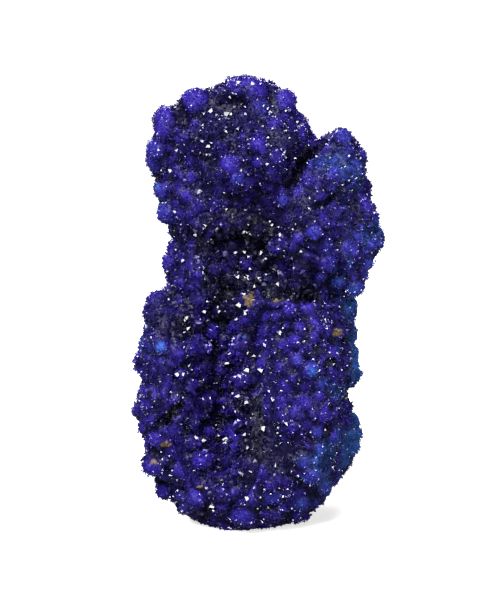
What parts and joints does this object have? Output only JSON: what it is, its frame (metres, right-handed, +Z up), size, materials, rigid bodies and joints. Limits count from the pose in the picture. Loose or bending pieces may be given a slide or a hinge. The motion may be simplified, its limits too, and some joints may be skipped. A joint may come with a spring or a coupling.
{
  "type": "azurite geode",
  "caption": "Upright azurite specimen with lumpy crystal-covered skin and a crystal-lined hollow that runs down its front; it stands on a small flat foot.",
  "frame": {"origin": "middle of the flat broken foot that the specimen stands on", "axes": "+Z up along the specimen's length, the crystal-lined hollow faces -Y, +X to the right of the hollow"},
  "size_m": [0.0333, 0.0262, 0.059],
  "materials": {
    "azurite_skin": null,
    "azurite_crystal": null
  },
  "bodies": {
    "root": {"nodule": "azurite_skin", "hollow_crystals": "azurite_crystal"}
  },
  "joints": []
}
